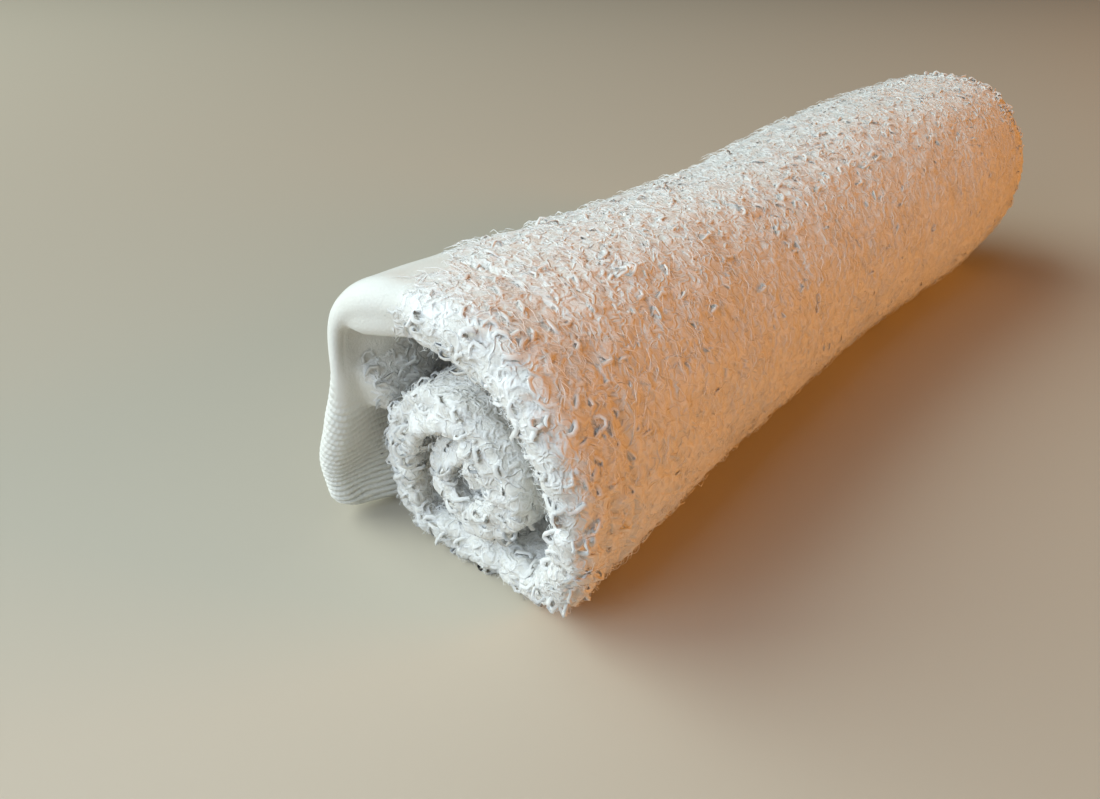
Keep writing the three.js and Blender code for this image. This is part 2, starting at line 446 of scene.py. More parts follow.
# %% [markdown]
# Three places on the inner side have a form of their own: the bulge of pile on the loose flap, the
# pocket above it, and the fuller cloth under the top of the roll. In the core the fold is pressed
# square, and more so on its inner side.

# %% Heights of the ground
KNOB_PITCH = 2.1
KNOB_DEPTH = 1.05
CURL_DEPTH = 0.3
CURL_DEPTH_INWARD = 0.45
BULGE_HEIGHT = 2.6
POCKET_DEPTH = 1.35
POCKET_AT = 28.2
FULLER_UNDER_TOP = 1.5
SQUARED_INSIDE = 1.5
SQUARED_OUTSIDE = 0.55


def pile_relief(hem, width):
    """How deep the surface of the pile dips between its knobs and curls."""
    open_end = 1 - ramp(from_fold(hem, width), 3, 9)
    loose = 0.35 + 0.65 * ramp(hem, 60, 76)
    curls = 1 - lying_tufts(hem, width, 3 * waver(hem / 5, width / 5, 18), 17)
    knobs = 1 - knobs_of_pile(hem, width, KNOB_PITCH, 12)
    at_the_fold = KNOB_DEPTH * knobs * loose + CURL_DEPTH * curls
    return at_the_fold * open_end + CURL_DEPTH_INWARD * curls * (1 - open_end)


def inner_forms(hem, width):
    """Bulge, pocket and fuller cloth of the inner side beside the fold."""
    deep = from_fold(hem, width)
    tuft_from = 1.6 + slant(hem)
    bulge = BULGE_HEIGHT * ramp(hem, 18.8, 20.2) * (1 - ramp(hem, 23, 26))
    bulge = bulge * ramp(deep, tuft_from - 1, tuft_from + 1) * (1 - ramp(deep, 8, 15))
    dip = np.exp(-((hem - POCKET_AT) / 3.6) ** 2 - ((deep - 1.5) / 3.0) ** 2)
    pocket = POCKET_DEPTH * dip * ramp(-width, 0.5, 2.0)
    under_top = FULLER_UNDER_TOP * ramp(hem, 30, 34) * (1 - ramp(hem, 52, 60))
    under_top = under_top * ramp(-width, 1.0, 2.8) * (1 - ramp(deep, 7, 12))
    return np.where(width < 0, bulge - pocket + under_top, 0)


def ground_lift(hem, width):
    """How far the ground stands above its mean place, with the felted foot of the pile on it."""
    _, half, pile, _, _ = section(hem)
    body = ramp(hem, TERRY_FROM, TERRY_FULL)
    hem_waves = 0.25 * waver(hem / 5.5, width / 8, 4)
    full = fullness(hem, width)
    puffed = 0.85 * pile * (1 - full) + (pile + 0.15 - pile_relief(hem, width)) * full
    turn = np.clip(np.abs(width) / half, 0, math.pi / 2)
    squared = np.where(width < 0, SQUARED_INSIDE, SQUARED_OUTSIDE) * np.sin(2 * turn) ** 2
    squared = squared * ramp(hem, 98, 112)
    smooth_parts = body * roll_unevenness(hem, width) + (1 - body) * (hem_waves + rib_height(hem, width))
    return smooth_parts + puffed + squared + inner_forms(hem, width) - 0.5 * felt_zone(hem, width)


sample_fold = np.zeros(2)
sample_hem = np.array([50.0, 80.0])
print("the ground at the fold stands", ground_lift(sample_hem, sample_fold).round(2), "mm high")

# %% [markdown]
# The skin of felt lies just above the ground's pile and dips below it round its rim, so that no
# edge of it shows. On top its tufts lie every way. On the right side they are combed round the
# roll and are flatter.

# %% Heights of the felt
FELT_DEPTH = 0.6
FELT_FLATTER = 0.4
FELT_RIM_DIP = 0.9


def felt_lift(hem, width):
    """Height of the felted skin: flattened tufts, combed round the roll on its right side."""
    flat = matted(hem, width)
    every_way = 2.2 * waver(hem / 11, width / 11, 15)
    combed = 0.15 + 0.5 * waver(hem / 9, width / 9, 16)
    lumps = lying_tufts(hem, width, every_way * (1 - flat) + combed * flat, 14)
    depth = FELT_DEPTH * (1 - FELT_FLATTER * flat)
    top = roll_unevenness(hem, width) + section(hem)[2] + 0.12
    return top - depth * (1 - lumps) - FELT_RIM_DIP * (1 - felt_zone(hem, width))


def pile_lift(hem, width):
    """Height of the surface that the loops stand on."""
    return np.maximum(ground_lift(hem, width), felt_lift(hem, width))


print("the felt stands", felt_lift(sample_hem, np.array([30.0, 30.0])).round(2), "mm high")

# %% [markdown]
# ## The ground cloth
# The towel lies double, so a cut across the band is a long narrow U: out over the outer face,
# round the cut edge, back along a thin slit between the two layers, and the same on the inner
# side. That outline is repeated for every station from the hem to the heart, and the outlines
# are joined by four-sided faces. A subdivision surface would be less work but would round the
# ribs away, and a simulation could not be made to lie in exactly this roll.
#
# Stations stand seven to a rib in the hem and about 0.6 mm apart in the rest. Across the band the
# points are closest beside the fold, where the knobs are seen from nearby.

# %% Stations of the ground cloth
STATIONS_TO_A_RIB = 7
BODY_STATIONS = 262
NEAR_SHARE = 0.13
hem_stations = np.concatenate([
    np.linspace(0, 1.2, 7)[:-1],
    np.arange(1.2, RIBS_OUTSIDE + 1, RIB_PITCH / STATIONS_TO_A_RIB),
    np.linspace(RIBS_OUTSIDE + 1.1, BAND - 2, BODY_STATIONS),
    BAND - np.array([1.4, 0.9, 0.5, 0.2, 0.0]),
])
near_part = np.linspace(0, NEAR_SHARE, 40)
outer_shares = np.concatenate([near_part, np.linspace(NEAR_SHARE, 1, 44)[1:]])
inner_shares = np.concatenate([near_part, np.linspace(NEAR_SHARE, 1, 18)[1:]])
fold_angles = np.linspace(0, math.pi / 2, 8)
slit_shares = np.linspace(1, 0, 9)
cut_angles = np.linspace(0, math.pi, 5)[1:-1]
print(len(hem_stations), "stations from hem to heart")


# %% [markdown]
# Each outline is made as widths and lifts for the two faces, and as plain distances for the cut
# edges and the slit, which nobody sees closely.


# %% Outline of the doubled ground cloth
def layer_inside(hem, side):
    """Cut edge and slit side of one layer, from its face at the cut edge to the slit's end."""
    place, half, _, fold, cut = section(hem)
    round_edge = (half - SLIT / 2) / 2
    mid = side * (half + SLIT / 2) / 2
    edge_x = [cut - round_edge + round_edge * math.sin(a) for a in cut_angles]
    edge_off = [mid + side * round_edge * math.cos(a) for a in cut_angles]
    slit_start = fold + half + 0.6
    slit_x = [slit_start + share * (cut - round_edge - slit_start) for share in slit_shares]
    slit_off = [side * SLIT / 2] * len(slit_shares)
    x = np.array(edge_x + slit_x)
    off = np.array(edge_off + slit_off)
    run = running(np.full_like(x, place), x)
    across = np.stack([run[:, 1], -run[:, 0]], -1)
    points = middle(np.full_like(x, place), x) + across * off[:, None]
    return np.column_stack([x, points]), np.column_stack([x, off])


def face_widths(hem, shares, side):
    """Widths of one face from just past the middle of the fold to the cut edge."""
    half, fold, cut = (float(section(hem)[k]) for k in (1, 3, 4))
    straight = cut - fold - half - (half - SLIT / 2) / 2
    arc = fold_angles[1:] * half
    return side * np.concatenate([arc, arc[-1] + shares[1:] * straight])


def outline(hem):
    """Points of one outline, their flat places for the end caps, and their widths for the pattern."""
    parts, flat, widths = [], [], []
    half = float(section(hem)[1])
    apex = on_cloth(np.array([hem]), np.array([0.0]), ground_lift(np.array([hem]), np.array([0.0])))[0]
    parts.append(apex)
    flat.append(np.array([[0.0, 0.0]]))
    widths.append(np.zeros(1))
    for side, shares in ((1, outer_shares), (-1, inner_shares)):
        width = face_widths(hem, shares, side)
        stations = np.full_like(width, hem)
        face = on_cloth(stations, width, ground_lift(stations, width))[0]
        angle = np.clip(np.abs(width) / half, 0, math.pi / 2)
        depth = half * (1 - np.cos(angle)) + np.maximum(np.abs(width) - half * math.pi / 2, 0)
        face_flat = np.column_stack([depth, side * half * np.sin(angle)])
        inside, inside_flat = layer_inside(hem, side)
        inside_flat = inside_flat - np.array([float(section(hem)[3]), 0.0])
        points = np.vstack([face, inside])
        plain = np.vstack([face_flat, inside_flat])
        shown = np.concatenate([width, np.full(len(inside), width[-1])])
        if side == -1:
            points, plain, shown = points[::-1], plain[::-1], shown[::-1]
        parts.append(points)
        flat.append(plain)
        widths.append(shown)
    return np.vstack(parts), np.vstack(flat), np.concatenate(widths)


outlines = [outline(hem) for hem in hem_stations]
around = len(outlines[0][0])
ground_points = in_frame(np.vstack([o[0] for o in outlines]))
print(around, "points in each outline,", len(ground_points), "in all")


# %% [markdown]
# The faces are written straight into the mesh arrays, which takes a second where adding them
# one at a time takes minutes. A mesh may also be given a normal for each vertex, which the light
# then follows instead of the true face.


# %% Mesh from arrays
def mesh_object(name, points, faces, material, normals=None):
    """A mesh object from points and a list of equal-sided faces, in the frame of the part."""
    mesh = bpy.data.meshes.new(name)
    corners = [np.asarray(group, np.int32) for group in faces if len(group)]
    sizes = np.concatenate([np.full(len(group), group.shape[1], np.int32) for group in corners])
    loops = np.concatenate([group.ravel() for group in corners])
    mesh.vertices.add(len(points))
    mesh.vertices.foreach_set("co", points.astype(np.float32).ravel())
    mesh.loops.add(len(loops))
    mesh.loops.foreach_set("vertex_index", loops)
    mesh.polygons.add(len(sizes))
    starts = np.concatenate([[0], np.cumsum(sizes)[:-1]]).astype(np.int32)
    mesh.polygons.foreach_set("loop_start", starts)
    mesh.update(calc_edges=True)
    mesh.polygons.foreach_set("use_smooth", np.full(len(sizes), True))
    if normals is not None:
        mesh.normals_split_custom_set_from_vertices(normals)
    mesh.materials.append(material)
    made = bpy.data.objects.new(name, mesh)
    bpy.context.scene.collection.objects.link(made)
    return made


def triangles(made):
    return sum(len(polygon.vertices) - 2 for polygon in made.data.polygons)


print("the ground cloth will have", len(ground_points), "points, too many to add one at a time")


# %% [markdown]
# ## Materials
# All of it is bleached cotton: short matt fibres that scatter light, with a soft bloom at grazing
# angles from the fibre ends. What differs is how the yarn was worked. The pile is soft-spun yarn
# in loops, partly felted into one another, so it is bright and slightly fuzzy. The hem is tightly
# woven, so its bump is a regular weave.
#
# Colours are sRGB hex values turned linear by one function, and one function adds a node with its
# settings and links.


# %% Helpers for materials
def linear(hex_code, alpha=1.0):
    """Linear RGBA from an sRGB hex value."""
    parts = [int(hex_code[k:k + 2], 16) / 255 for k in (1, 3, 5)]
    return [p / 12.92 if p <= 0.04045 else ((p + 0.055) / 1.055) ** 2.4 for p in parts] + [alpha]


def add(tree, kind, settings=None, **links):
    """Adds a node, sets its properties or input values, and links its inputs."""
    node = tree.nodes.new(kind)
    for key, value in (settings or {}).items():
        if isinstance(key, int) or key in node.inputs:
            node.inputs[key].default_value = value
        else:
            setattr(node, key, value)
    for key, source in links.items():
        tree.links.new(source, node.inputs[key.replace("_", " ")])
    return node


def cotton(name, roughness, sheen):
    """A new cotton material, its node tree and its shader."""
    material = bpy.data.materials.new(name)
    material.use_nodes = True
    tree = material.node_tree
    shader = tree.nodes["Principled BSDF"]
    shader.inputs["Roughness"].default_value = roughness
    shader.inputs["Sheen Weight"].default_value = sheen
    shader.inputs["Sheen Roughness"].default_value = 0.45
    shader.inputs["Specular IOR Level"].default_value = 0.2
    return material, tree, shader


# A Mix node keeps its two colours in inputs 6 and 7 and gives the mixed one in output 2.
FIRST = 6
SECOND = 7
MIXED = 2
print("bleached cotton", [round(v, 2) for v in linear("#efece6")[:3]])

# %% [markdown]
# ### Soft-spun terry yarn
# Two-ply cotton yarn about 0.5 mm thick. Its fibres are about 0.02 mm, far too fine to show, so
# the bump is drawn at 0.12 mm, as strands. Patches of a few loops differ a little in whiteness.

# %% Terry yarn
terry_yarn, tree, shader = cotton("soft_spun_terry_yarn", 0.92, 0.35)
place = add(tree, "ShaderNodeTexCoord").outputs["Object"]
patches = add(tree, "ShaderNodeTexNoise", {"Scale": 1 / (5 * MM), "Detail": 3.0}, Vector=place)
whiter, duller = linear("#f9f8f5"), linear("#f0eee8")
tint = add(tree, "ShaderNodeMix", {"data_type": "RGBA", FIRST: whiter, SECOND: duller},
           Factor=patches.outputs["Fac"])
tree.links.new(tint.outputs[MIXED], shader.inputs["Base Color"])
strands = add(tree, "ShaderNodeTexNoise", {"Scale": 1 / (0.12 * MM), "Detail": 2.0}, Vector=place)
bump = add(tree, "ShaderNodeBump", {"Strength": 0.35, "Distance": 0.06 * MM},
           Height=strands.outputs["Fac"])
tree.links.new(bump.outputs["Normal"], shader.inputs["Normal"])
print("material", terry_yarn.name)

# %% [markdown]
# ### Loose cotton fibres
# Single fibres and thin wisps that have worked out of the yarn. They are too thin for light to
# spread inside them or to show a bump, so they keep to a matt white that is a little creamier
# from wisp to wisp, at about 2 mm.

# %% Loose fibres
loose_fibre, tree, shader = cotton("loose_cotton_fibre", 1.0, 0.0)
place = add(tree, "ShaderNodeTexCoord").outputs["Object"]
wisps = add(tree, "ShaderNodeTexNoise", {"Scale": 1 / (2 * MM), "Detail": 2.0}, Vector=place)
whiter, creamier = linear("#fffefc"), linear("#f7f6f2")
tint = add(tree, "ShaderNodeMix", {"data_type": "RGBA", FIRST: whiter, SECOND: creamier},
           Factor=wisps.outputs["Fac"])
tree.links.new(tint.outputs[MIXED], shader.inputs["Base Color"])
print("material", loose_fibre.name)

# %% [markdown]
# ### Felted terry pile
# Loops that washing and rolling have matted into one another, so that no single yarn can be
# followed any more. What is left are curls about 1.5 mm across with fibres of 0.2 mm on them. The
# creases between the curls are painted a little darker than their backs: painted shade.

# %% Felted terry pile
felted_pile, tree, shader = cotton("felted_terry_pile", 0.95, 0.3)
place = add(tree, "ShaderNodeTexCoord").outputs["Object"]
curls = add(tree, "ShaderNodeTexNoise", {"Scale": 1 / (1.5 * MM), "Detail": 1.5, "Distortion": 0.6},
            Vector=place)
from_middle = add(tree, "ShaderNodeMath", {"operation": "SUBTRACT", 1: 0.5}, Value=curls.outputs["Fac"])
away = add(tree, "ShaderNodeMath", {"operation": "ABSOLUTE"}, Value=from_middle.outputs[0])
ridge = add(tree, "ShaderNodeMapRange",
            {"interpolation_type": "SMOOTHSTEP", "From Min": 0.0, "From Max": 0.13,
             "To Min": 1.0, "To Max": 0.0}, Value=away.outputs[0])
fibres = add(tree, "ShaderNodeTexNoise", {"Scale": 1 / (0.22 * MM), "Detail": 3.0}, Vector=place)
height = add(tree, "ShaderNodeMath", {"operation": "MULTIPLY_ADD", 1: 0.55}, Value=fibres.outputs["Fac"])
tree.links.new(ridge.outputs["Result"], height.inputs[2])
bump = add(tree, "ShaderNodeBump", {"Strength": 0.7, "Distance": 0.2 * MM}, Height=height.outputs[0])
tree.links.new(bump.outputs["Normal"], shader.inputs["Normal"])
# painted shade: the creases of the curls take the darker colour, their backs the lighter one
painted_crease_shade, on_back = linear("#efece5"), linear("#f9f8f5")
tint = add(tree, "ShaderNodeMix", {"data_type": "RGBA", FIRST: painted_crease_shade, SECOND: on_back},
           Factor=ridge.outputs["Result"])
tree.links.new(tint.outputs[MIXED], shader.inputs["Base Color"])
print("material", felted_pile.name)

# %% [markdown]
# ### Ribbed hem band
# The band is woven as a weft rib: the cords are real geometry, and the picks that bind them show
# as fine knuckles 0.55 mm apart along each cord, set off by half a step from cord to cord. They
# fade out with the ribs, because the strip behind is a plain close weave. The pattern runs in the
# cloth's own flat coordinates, kept as a UV map in metres: across from the fold, and from the hem.

# %% Weave of the hem band
KNUCKLE_PITCH = 0.55
hem_band, tree, shader = cotton("ribbed_cotton_hem", 0.88, 0.2)
flat_place = add(tree, "ShaderNodeUVMap", {"uv_map": "flat_towel"}).outputs["UV"]
parts = add(tree, "ShaderNodeSeparateXYZ", Vector=flat_place)
place = add(tree, "ShaderNodeTexCoord").outputs["Object"]
knuckle = add(tree, "ShaderNodeMath", {"operation": "MULTIPLY", 1: 2 * math.pi / (KNUCKLE_PITCH * MM)},
              Value=parts.outputs["X"])
cord = add(tree, "ShaderNodeMath", {"operation": "MULTIPLY", 1: math.pi / (RIB_PITCH * MM)},
           Value=parts.outputs["Y"])
staggered = add(tree, "ShaderNodeMath", {"operation": "ADD"}, Value=knuckle.outputs[0])
tree.links.new(cord.outputs[0], staggered.inputs[1])
sine = add(tree, "ShaderNodeMath", {"operation": "SINE"}, Value=staggered.outputs[0])
in_ribs = add(tree, "ShaderNodeMapRange",
              {"From Min": 17 * MM, "From Max": 23 * MM, "To Min": 1.0, "To Max": 0.0},
              Value=parts.outputs["Y"])
wave = add(tree, "ShaderNodeMath", {"operation": "MULTIPLY"}, Value=sine.outputs[0])
tree.links.new(in_ribs.outputs["Result"], wave.inputs[1])
nap = add(tree, "ShaderNodeTexNoise", {"Scale": 1 / (0.3 * MM), "Detail": 3.0}, Vector=place)
height = add(tree, "ShaderNodeMath", {"operation": "MULTIPLY_ADD", 1: 0.3}, Value=wave.outputs[0])
tree.links.new(nap.outputs["Fac"], height.inputs[2])
bump = add(tree, "ShaderNodeBump", {"Strength": 0.4, "Distance": 0.16 * MM}, Height=height.outputs[0])
tree.links.new(bump.outputs["Normal"], shader.inputs["Normal"])
print("knuckles", KNUCKLE_PITCH, "mm apart on ribs", RIB_PITCH, "mm apart")

# %% [markdown]
# The tight weave is a little greyer than the pile, in patches of about 4 mm. One dark speck of
# lint, not half a millimetre across, is caught on the inner face of the flap.

# %% Colour of the hem band
LINT_ACROSS = -7.9
LINT_FROM_HEM = 8.7
patches = add(tree, "ShaderNodeTexNoise", {"Scale": 1 / (4 * MM), "Detail": 4.0}, Vector=place)
whiter, duller = linear("#f1efe8"), linear("#e4e1d7")
tint = add(tree, "ShaderNodeMix", {"data_type": "RGBA", FIRST: whiter, SECOND: duller},
           Factor=patches.outputs["Fac"])
from_lint = add(tree, "ShaderNodeVectorMath",
                {"operation": "DISTANCE", 1: (LINT_ACROSS * MM, LINT_FROM_HEM * MM, 0.0)}, Vector=flat_place)
lint = add(tree, "ShaderNodeMapRange",
           {"From Min": 0.16 * MM, "From Max": 0.26 * MM, "To Min": 1.0, "To Max": 0.0},
           Value=from_lint.outputs["Value"])
marked = add(tree, "ShaderNodeMix", {"data_type": "RGBA", SECOND: linear("#4d463f")},
             Factor=lint.outputs["Result"])
tree.links.new(tint.outputs[MIXED], marked.inputs[FIRST])
tree.links.new(marked.outputs[MIXED], shader.inputs["Base Color"])
print("material", hem_band.name)

# %% [markdown]
# ## Building the ground cloth
# The outlines are joined by rings of four-sided faces, and each end of the band is closed with
# triangles over its outline.

# %% The ground cloth's mesh
count = len(outlines)
station = np.arange(count - 1)[:, None] * around
step = np.arange(around)[None, :]
following = (step + 1) % around
here, ahead = station + step, station + following
sides = np.stack([here, ahead, ahead + around, here + around], -1)


def cap_of(flat):
    """Triangles over one outline, all turned the same way round."""
    cap = np.array(tessellate_polygon([[Vector((x, y, 0)) for x, y in flat]]), int)
    a, b, c = (flat[cap[:, k]] for k in range(3))
    turn = (b - a)[:, 0] * (c - a)[:, 1] - (b - a)[:, 1] * (c - a)[:, 0]
    return np.where((turn > 0)[:, None], cap, cap[:, ::-1])


hem_cap = cap_of(outlines[0][1])
core_cap = cap_of(outlines[-1][1])[:, ::-1] + (count - 1) * around
cloth_faces = [sides.reshape(-1, 4), hem_cap, core_cap]
cloth = mesh_object("cloth_ground", ground_points, cloth_faces, felted_pile)
cloth.data.materials.append(hem_band)
area = sum(polygon.area for polygon in cloth.data.polygons)
print("ground cloth:", triangles(cloth), "triangles, surface", round(area * 1e4), "cm2")

# %% [markdown]
# The weave and the lint are drawn by their place on the flat towel, so every corner of a face is
# given that place. Faces with no pile take the hem's material and the others the felted pile's.

# %% Flat places and materials of its faces
flat_hem = np.repeat(hem_stations, around)
flat_width = np.concatenate([o[2] for o in outlines])
corner_vertex = np.zeros(len(cloth.data.loops), np.int32)
cloth.data.loops.foreach_get("vertex_index", corner_vertex)
flat_map = cloth.data.uv_layers.new(name="flat_towel")
flat_places = np.column_stack([flat_width[corner_vertex], flat_hem[corner_vertex]])
flat_map.data.foreach_set("uv", flat_places.astype(np.float32).ravel() * MM)
smooth_vertex = pile_cover(flat_hem, flat_width) < 0.5
face_of_hem = [bool(smooth_vertex[polygon.vertices[0]]) for polygon in cloth.data.polygons]
cloth.data.polygons.foreach_set("material_index", np.array(face_of_hem, np.int32))
print(sum(face_of_hem), "of", len(face_of_hem), "faces belong to the hem band")

# %% [markdown]
# ## The felted pile
# Washed and pressed in a roll, the loops of the outer turn have matted into one another. What is
# seen is a skin of short flattened tufts about 2 mm long, so this skin is one fine sheet whose
# height is worked out from thousands of overlapping tufts. Its rim dips under the ground's pile.
# Modelling each tuft would take millions of faces and look no softer.

# %% Skin and floor of the felt
FELT_STEP = 0.43
FLOOR_DEPTH = 1.2
felt_rows = np.arange(FELT_FROM - 0.4, FELT_TO + 0.4, FELT_STEP)
felt_shares = np.linspace(0, 1, int((width_of_face(np.array([60.0]))[0] - 10) / FELT_STEP))
felt_hem = np.repeat(felt_rows[:, None], len(felt_shares), axis=1)
felt_width = 8 + felt_shares * (width_of_face(felt_hem) - 10)
picked = np.linspace(0, len(felt_shares) - 1, 8).astype(int)
floor_hem, floor_width = felt_hem[:, picked], felt_width[:, picked]
skin_points = on_cloth(felt_hem, felt_width, felt_lift(felt_hem, felt_width))[0]
floor_points = on_cloth(floor_hem, floor_width, np.full(floor_hem.shape, -FLOOR_DEPTH))[0]
felt_points = np.vstack([skin_points.reshape(-1, 3), floor_points.reshape(-1, 3)])
print("skin of", felt_hem.shape, "points over a floor of", floor_hem.shape)

# %% [markdown]
# A sheet with no thickness would be open below, so a floor inside the cloth closes it. The floor
# is coarse, and so each of its steps along the first and last row meets a run of fine points.

# %% Closing the felt
rows, columns = felt_hem.shape
top_index = np.arange(rows * columns).reshape(rows, columns)
low_index = rows * columns + np.arange(rows * len(picked)).reshape(rows, len(picked))


def grid_faces(index):
    return np.stack([index[:-1, :-1], index[1:, :-1], index[1:, 1:], index[:-1, 1:]], -1).reshape(-1, 4)


felt_faces = [grid_faces(top_index), grid_faces(low_index)[:, ::-1]]
for edge in (0, -1):
    wall = grid_faces(np.stack([low_index[:, edge], top_index[:, edge]], 1))
    felt_faces.append(wall if edge == 0 else wall[:, ::-1])
    for k, (start, end) in enumerate(zip(picked[:-1], picked[1:])):
        ring_of_wall = np.concatenate([top_index[edge, start:end + 1], low_index[edge, [k + 1, k]]])
        felt_faces.append((ring_of_wall if edge == 0 else ring_of_wall[::-1])[None])
felt = mesh_object("pile_felt", in_frame(felt_points), felt_faces, felted_pile)
print("felted pile:", triangles(felt), "triangles")

# %% [markdown]
# ## The pile
# Every loop of terry is one bent yarn that leaves the ground and comes back beside its start. It
# is drawn as a ring, open at its foot, swept with a three-sided tube. Loops come in all states:
# at the fold they are stretched open and stand up, on the top they lie over, and on the right and
# under the roll they are matted flat, with most of each one sunk in the felt. Hair particles
# would be quicker to set up, but they are not solid meshes, so the loops are joined meshes.

# %% One loop of yarn
YARN = 0.27  # half the yarn's thickness
RING_WIDTH = 0.66  # half the ring's width, along the yarn's middle line
RING_HEIGHT = 0.82
OPEN_LOOP = (-45, 225, 7)
LOW_LOOP = (-15, 195, 6)


def ring(arc):
    """Across, up and turn of a loop's middle line, for an arc of start angle, end angle and points."""
    turn = np.radians(np.linspace(*arc))
    across = RING_WIDTH * np.cos(turn)
    up = RING_HEIGHT * (np.sin(turn) - np.sin(turn[0]))
    return across, up, turn


print("a loop is", round(2 * (RING_WIDTH + YARN), 2), "mm wide and stands",
      round(ring(OPEN_LOOP)[1].max() + YARN, 2), "mm high")

# %% [markdown]
# All tubes of a piece are swept at once, as arrays with one row for each yarn. A thin tube shades
# like hard wire, while real yarn is a cloud of fibres that passes light on. So the normals are
# turned part of the way towards the outside of the cloth.

# %% Tubes round many middle lines
TUBE_SIDES = 3


def tubes(lines, side, radius, outward, squash, soft):
    """Points, faces and normals of closed tubes round many middle lines of equally many points.

    A squash under 1 flattens each tube towards the cloth. Soft turns the normals outwards, from 0
    for a hard tube to 1 for the cloth's own outward direction.
    """
    sides = TUBE_SIDES
    number, steps = lines.shape[:2]
    ahead = unit(np.gradient(lines, axis=1))
    side = unit(side - ahead * (side * ahead).sum(-1, keepdims=True))
    other = np.cross(ahead, side)
    turn = (np.arange(sides) + 0.5) * 2 * math.pi / sides
    spoke = side[:, :, None] * np.cos(turn)[:, None] + other[:, :, None] * np.sin(turn)[:, None]
    normal = outward[:, None, None]
    shading = unit((1 - soft) * spoke + soft * normal)
    spoke = spoke - (1 - squash) * (spoke * normal).sum(-1, keepdims=True) * normal
    skin = lines[:, :, None] + radius[:, :, None, None] * spoke
    start = (np.arange(number) * steps * sides)[:, None]
    first = start[:, :, None] + (np.arange(steps - 1) * sides)[None, :, None]
    here = np.arange(sides)[None, None, :]
    after = (here + 1) % sides
    walls = np.stack([first + here, first + after, first + sides + after, first + sides + here], -1)
    near_cap = start + np.arange(sides)[::-1]
    far_cap = start + (steps - 1) * sides + np.arange(sides)
    return skin.reshape(-1, 3), [walls.reshape(-1, 4), near_cap, far_cap], shading.reshape(-1, 3)


print("each tube has", TUBE_SIDES, "sides")

# %% [markdown]
# A loop rises from its foot, leans over in some heading, and spreads across that. Its yarn is
# never a perfect ring, so the middle line is bent sideways and every point of it is moved a little.

# %% Many loops at once
LOOP_BEND = 0.16
LOOP_TWIST = 0.22
LOOP_JITTER = 0.07


def yarn_loops(foot, outward, along, onward, look, arc, squash, soft, draw):
    """Points, faces and normals of many loops. look holds each loop's lean, heading and so on."""
    lean, heading, turning, size = (look[key][:, None] for key in ("lean", "heading", "turn", "size"))
    toward = along * np.cos(heading) + onward * np.sin(heading)
    rise = outward * np.cos(lean) + toward * np.sin(lean)
    flat = along * np.cos(turning) + onward * np.sin(turning)
    spread = unit(flat - rise * (flat * rise).sum(1, keepdims=True))
    beside = np.cross(rise, spread)
    across, up, turn = ring(arc)
    bend = draw.normal(0, LOOP_BEND, (len(foot), 1)) * np.sin(2 * turn)
    bend = bend + draw.normal(0, LOOP_TWIST, (len(foot), 1)) * np.cos(turn)
    flat_ring = spread[:, None] * across[None, :, None] + rise[:, None] * up[None, :, None]
    middle_line = foot[:, None] + size[:, None] * (flat_ring + beside[:, None] * bend[..., None])
    side = np.broadcast_to(beside[:, None], middle_line.shape)
    middle_line = middle_line + draw.normal(0, LOOP_JITTER, middle_line.shape)
    thickness = look["yarn"][:, None] * np.ones(len(turn))
    return tubes(middle_line, side, thickness, outward, squash, soft)


print("an open loop is drawn with", OPEN_LOOP[2], "points and a low one with", LOW_LOOP[2])

# %% [markdown]
# ### Setting out
# Terry is woven in rows, so loops are set out in rows, each row half a step off the last, and
# every foot is then moved a little. Plain random places would leave bald spots.


# %% Setting out the loops
def set_out(hem_range, width_range, spacing, draw):
    """Jittered rows of feet between two distances from the hem and two widths."""
    hem = np.arange(hem_range[0], hem_range[1], spacing)
    width = np.arange(width_range[0], width_range[1], spacing)
    h, w = np.meshgrid(hem, width, indexing="ij")
    w = w + spacing / 2 * (np.arange(len(hem)) % 2)[:, None]
    h = h + draw.uniform(-0.42, 0.42, h.shape) * spacing
    w = w + draw.uniform(-0.42, 0.42, w.shape) * spacing
    return h.ravel(), w.ravel()


sample_feet = len(set_out((0, 50), (0, 50), 1.35, np.random.default_rng(1))[0])
print("rows 1.35 mm apart hold", round(sample_feet / 25), "loops in a square centimetre")

# %% [markdown]
# ### One patch of pile
# Each piece of pile is a patch with its own lean, depth and form of loop. Loops only stand where
# the cloth has pile. Matted ones are left out more often, since they have gone into the felt. The
# rest are sunk by a depth that is given in steps from hem to heart, and a few stand proud.

# %% A patch of pile
PRESSED_FROM = 98
LOST_WHERE_MATTED = 0.7
PROUD_SHARE = 0.02
PROUD_SHARE_AT_RIM = 0.16
PROUD_PART = 0.45


